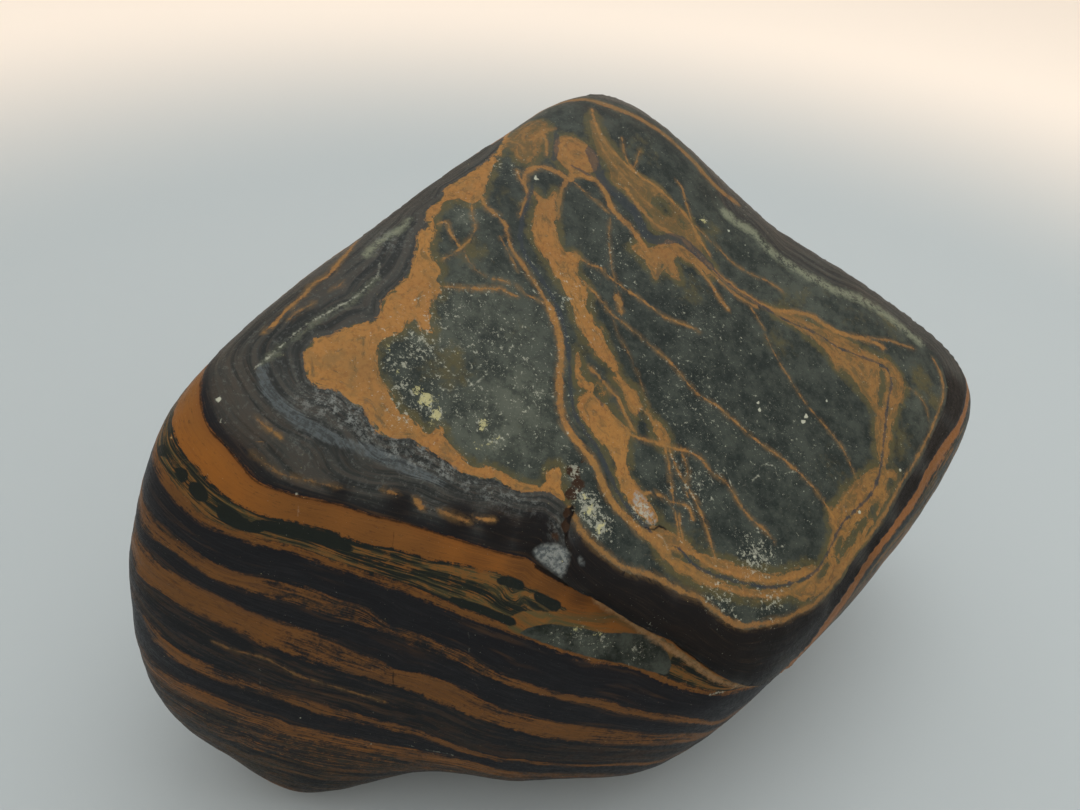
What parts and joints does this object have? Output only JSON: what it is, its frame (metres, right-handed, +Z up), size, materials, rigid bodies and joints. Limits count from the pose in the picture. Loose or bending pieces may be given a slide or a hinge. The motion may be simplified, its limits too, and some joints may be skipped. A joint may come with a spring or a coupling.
{
  "type": "banded iron formation specimen",
  "caption": "Water-worn four-sided cobble of banded ironstone with a broken ledge, lying on a small flat spot.",
  "frame": {"origin": "centre of the box at the level of the flat rest spot", "axes": "+Z up from the rest spot, +X along the longest extent, +Y away from the banded front; the tilted top face runs down to the front right"},
  "size_m": [0.151, 0.1142, 0.1029],
  "materials": {
    "banded_ironstone": "satin, water-worn"
  },
  "bodies": {
    "root": {"banded_stone": "banded_ironstone"}
  },
  "joints": []
}
